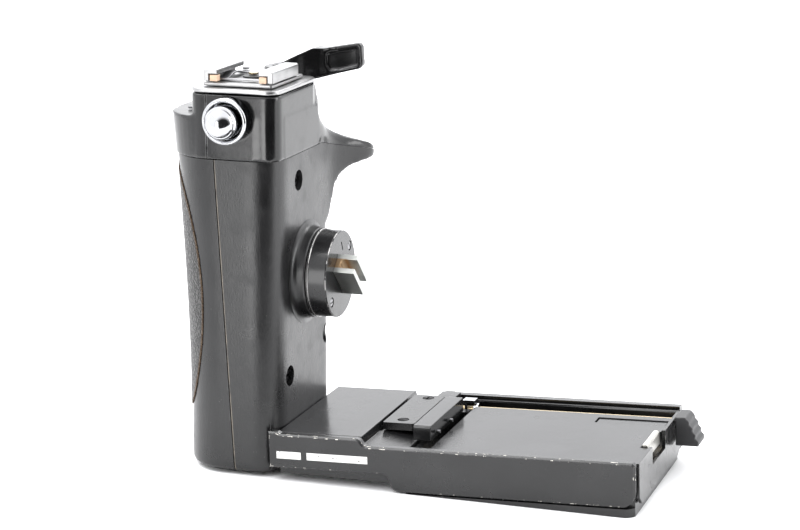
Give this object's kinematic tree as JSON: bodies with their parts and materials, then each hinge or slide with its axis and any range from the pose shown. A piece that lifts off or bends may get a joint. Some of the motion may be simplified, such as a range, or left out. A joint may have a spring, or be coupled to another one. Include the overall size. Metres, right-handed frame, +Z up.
{
  "type": "camera speed grip",
  "caption": "Upright camera hand grip with accessory shoe, wind lever, shutter release and drive coupling, joined to a low tray that a camera body locks into.",
  "frame": {"origin": "centre of the bounding box at the level of the underside", "axes": "+Z up; +X from the grip towards the far end of the tray; +Y to the rear, towards the thumb rest"},
  "size_m": [0.153, 0.0764, 0.1233],
  "materials": {
    "satin_enamel": "satin black",
    "gloss_enamel": "gloss black",
    "leatherette": "pebbled",
    "bright_alloy": "satin bright",
    "chrome": "polished",
    "zinc": "dull cast",
    "brass": "worn",
    "steel": "blackened",
    "black_plastic": "matt",
    "beige_plastic": "matt"
  },
  "bodies": {
    "grip_and_tray": {"inner_housing": "satin_enamel", "outer_housing": "satin_enamel", "coupling_boss": "satin_enamel", "base_block": "satin_enamel", "tray_pan": "satin_enamel", "tray_floor": "satin_enamel", "slide_cover": "satin_enamel", "top_cover": "gloss_enamel", "palm_cap": "gloss_enamel", "front_plate": "gloss_enamel", "screw_bar": "gloss_enamel", "locating_strip": "gloss_enamel", "rear_rail": "gloss_enamel", "end_wall": "gloss_enamel", "palm_panel": "leatherette", "rim_plate": "bright_alloy", "shoe_base": "bright_alloy", "shoe_rail_0": "bright_alloy", "shoe_rail_1": "bright_alloy", "release_collar": "chrome", "shoe_contact": "brass", "contact_pin_0": "brass", "contact_pin_1": "brass", "tripod_socket": "brass", "shoulder_pin": "steel", "shoe_spring": "steel", "shoe_screw_0": "steel", "shoe_screw_1": "steel", "release_spring": "steel", "housing_screw_top": "steel", "housing_screw_mid": "steel", "housing_screw_low": "steel", "bar_screw_0": "steel", "bar_screw_1": "steel", "shoe_insulator": "black_plastic", "shoe_stop_0": "beige_plastic", "shoe_stop_1": "beige_plastic"},
    "wind_lever": {"lever_arm": "gloss_enamel", "lever_cap": "steel", "lever_collar": "steel", "lever_shaft": "steel"},
    "drive": {"drive_shaft": "steel"},
    "coupling": {"coupling_drum": "gloss_enamel", "coupling_dog": "zinc", "drum_screw_0": "steel", "drum_screw_1": "steel"},
    "release": {"release_button": "chrome"},
    "lock": {"lock_rod": "brass", "lock_knob": "black_plastic", "lock_collar": "chrome", "lock_hook": "chrome", "lock_link": "steel", "lock_catch": "bright_alloy"}
  },
  "joints": [
    {"name": "wind_lever_turn", "type": "hinge", "parent": "grip_and_tray", "child": "wind_lever", "pos_m": [-0.05094, 0.01515, 0.115], "axis": [0, 0, 1], "range_deg": [0, 165], "stiffness_Nm_per_rad": 0.02, "springref_deg": -17.19},
    {"name": "drive_turn", "type": "hinge", "parent": "grip_and_tray", "child": "drive", "pos_m": [-0.05394, -0.00285, 0.08], "axis": [0, 0, 1], "range_deg": [-91, 1]},
    {"name": "drum_turn", "type": "hinge", "parent": "grip_and_tray", "child": "coupling", "pos_m": [-0.03094, -0.00285, 0.0565], "axis": [1, 0, 0], "range_deg": [-1, 91]},
    {"name": "release_press", "type": "slide", "parent": "grip_and_tray", "child": "release", "axis": [0, 1, 0], "range_m": [0, 0.0025], "stiffness_N_per_m": 300, "springref_m": -0.002},
    {"name": "lock_slide", "type": "slide", "parent": "grip_and_tray", "child": "lock", "axis": [0.9993, 0, 0.0384], "range_m": [0, 0.0035], "stiffness_N_per_m": 400, "springref_m": -0.002}
  ],
  "couplings": [
    {"joint": "drive_turn", "follows": "wind_lever_turn", "ratio": -0.54546},
    {"joint": "drum_turn", "follows": "wind_lever_turn", "ratio": 0.54546}
  ]
}
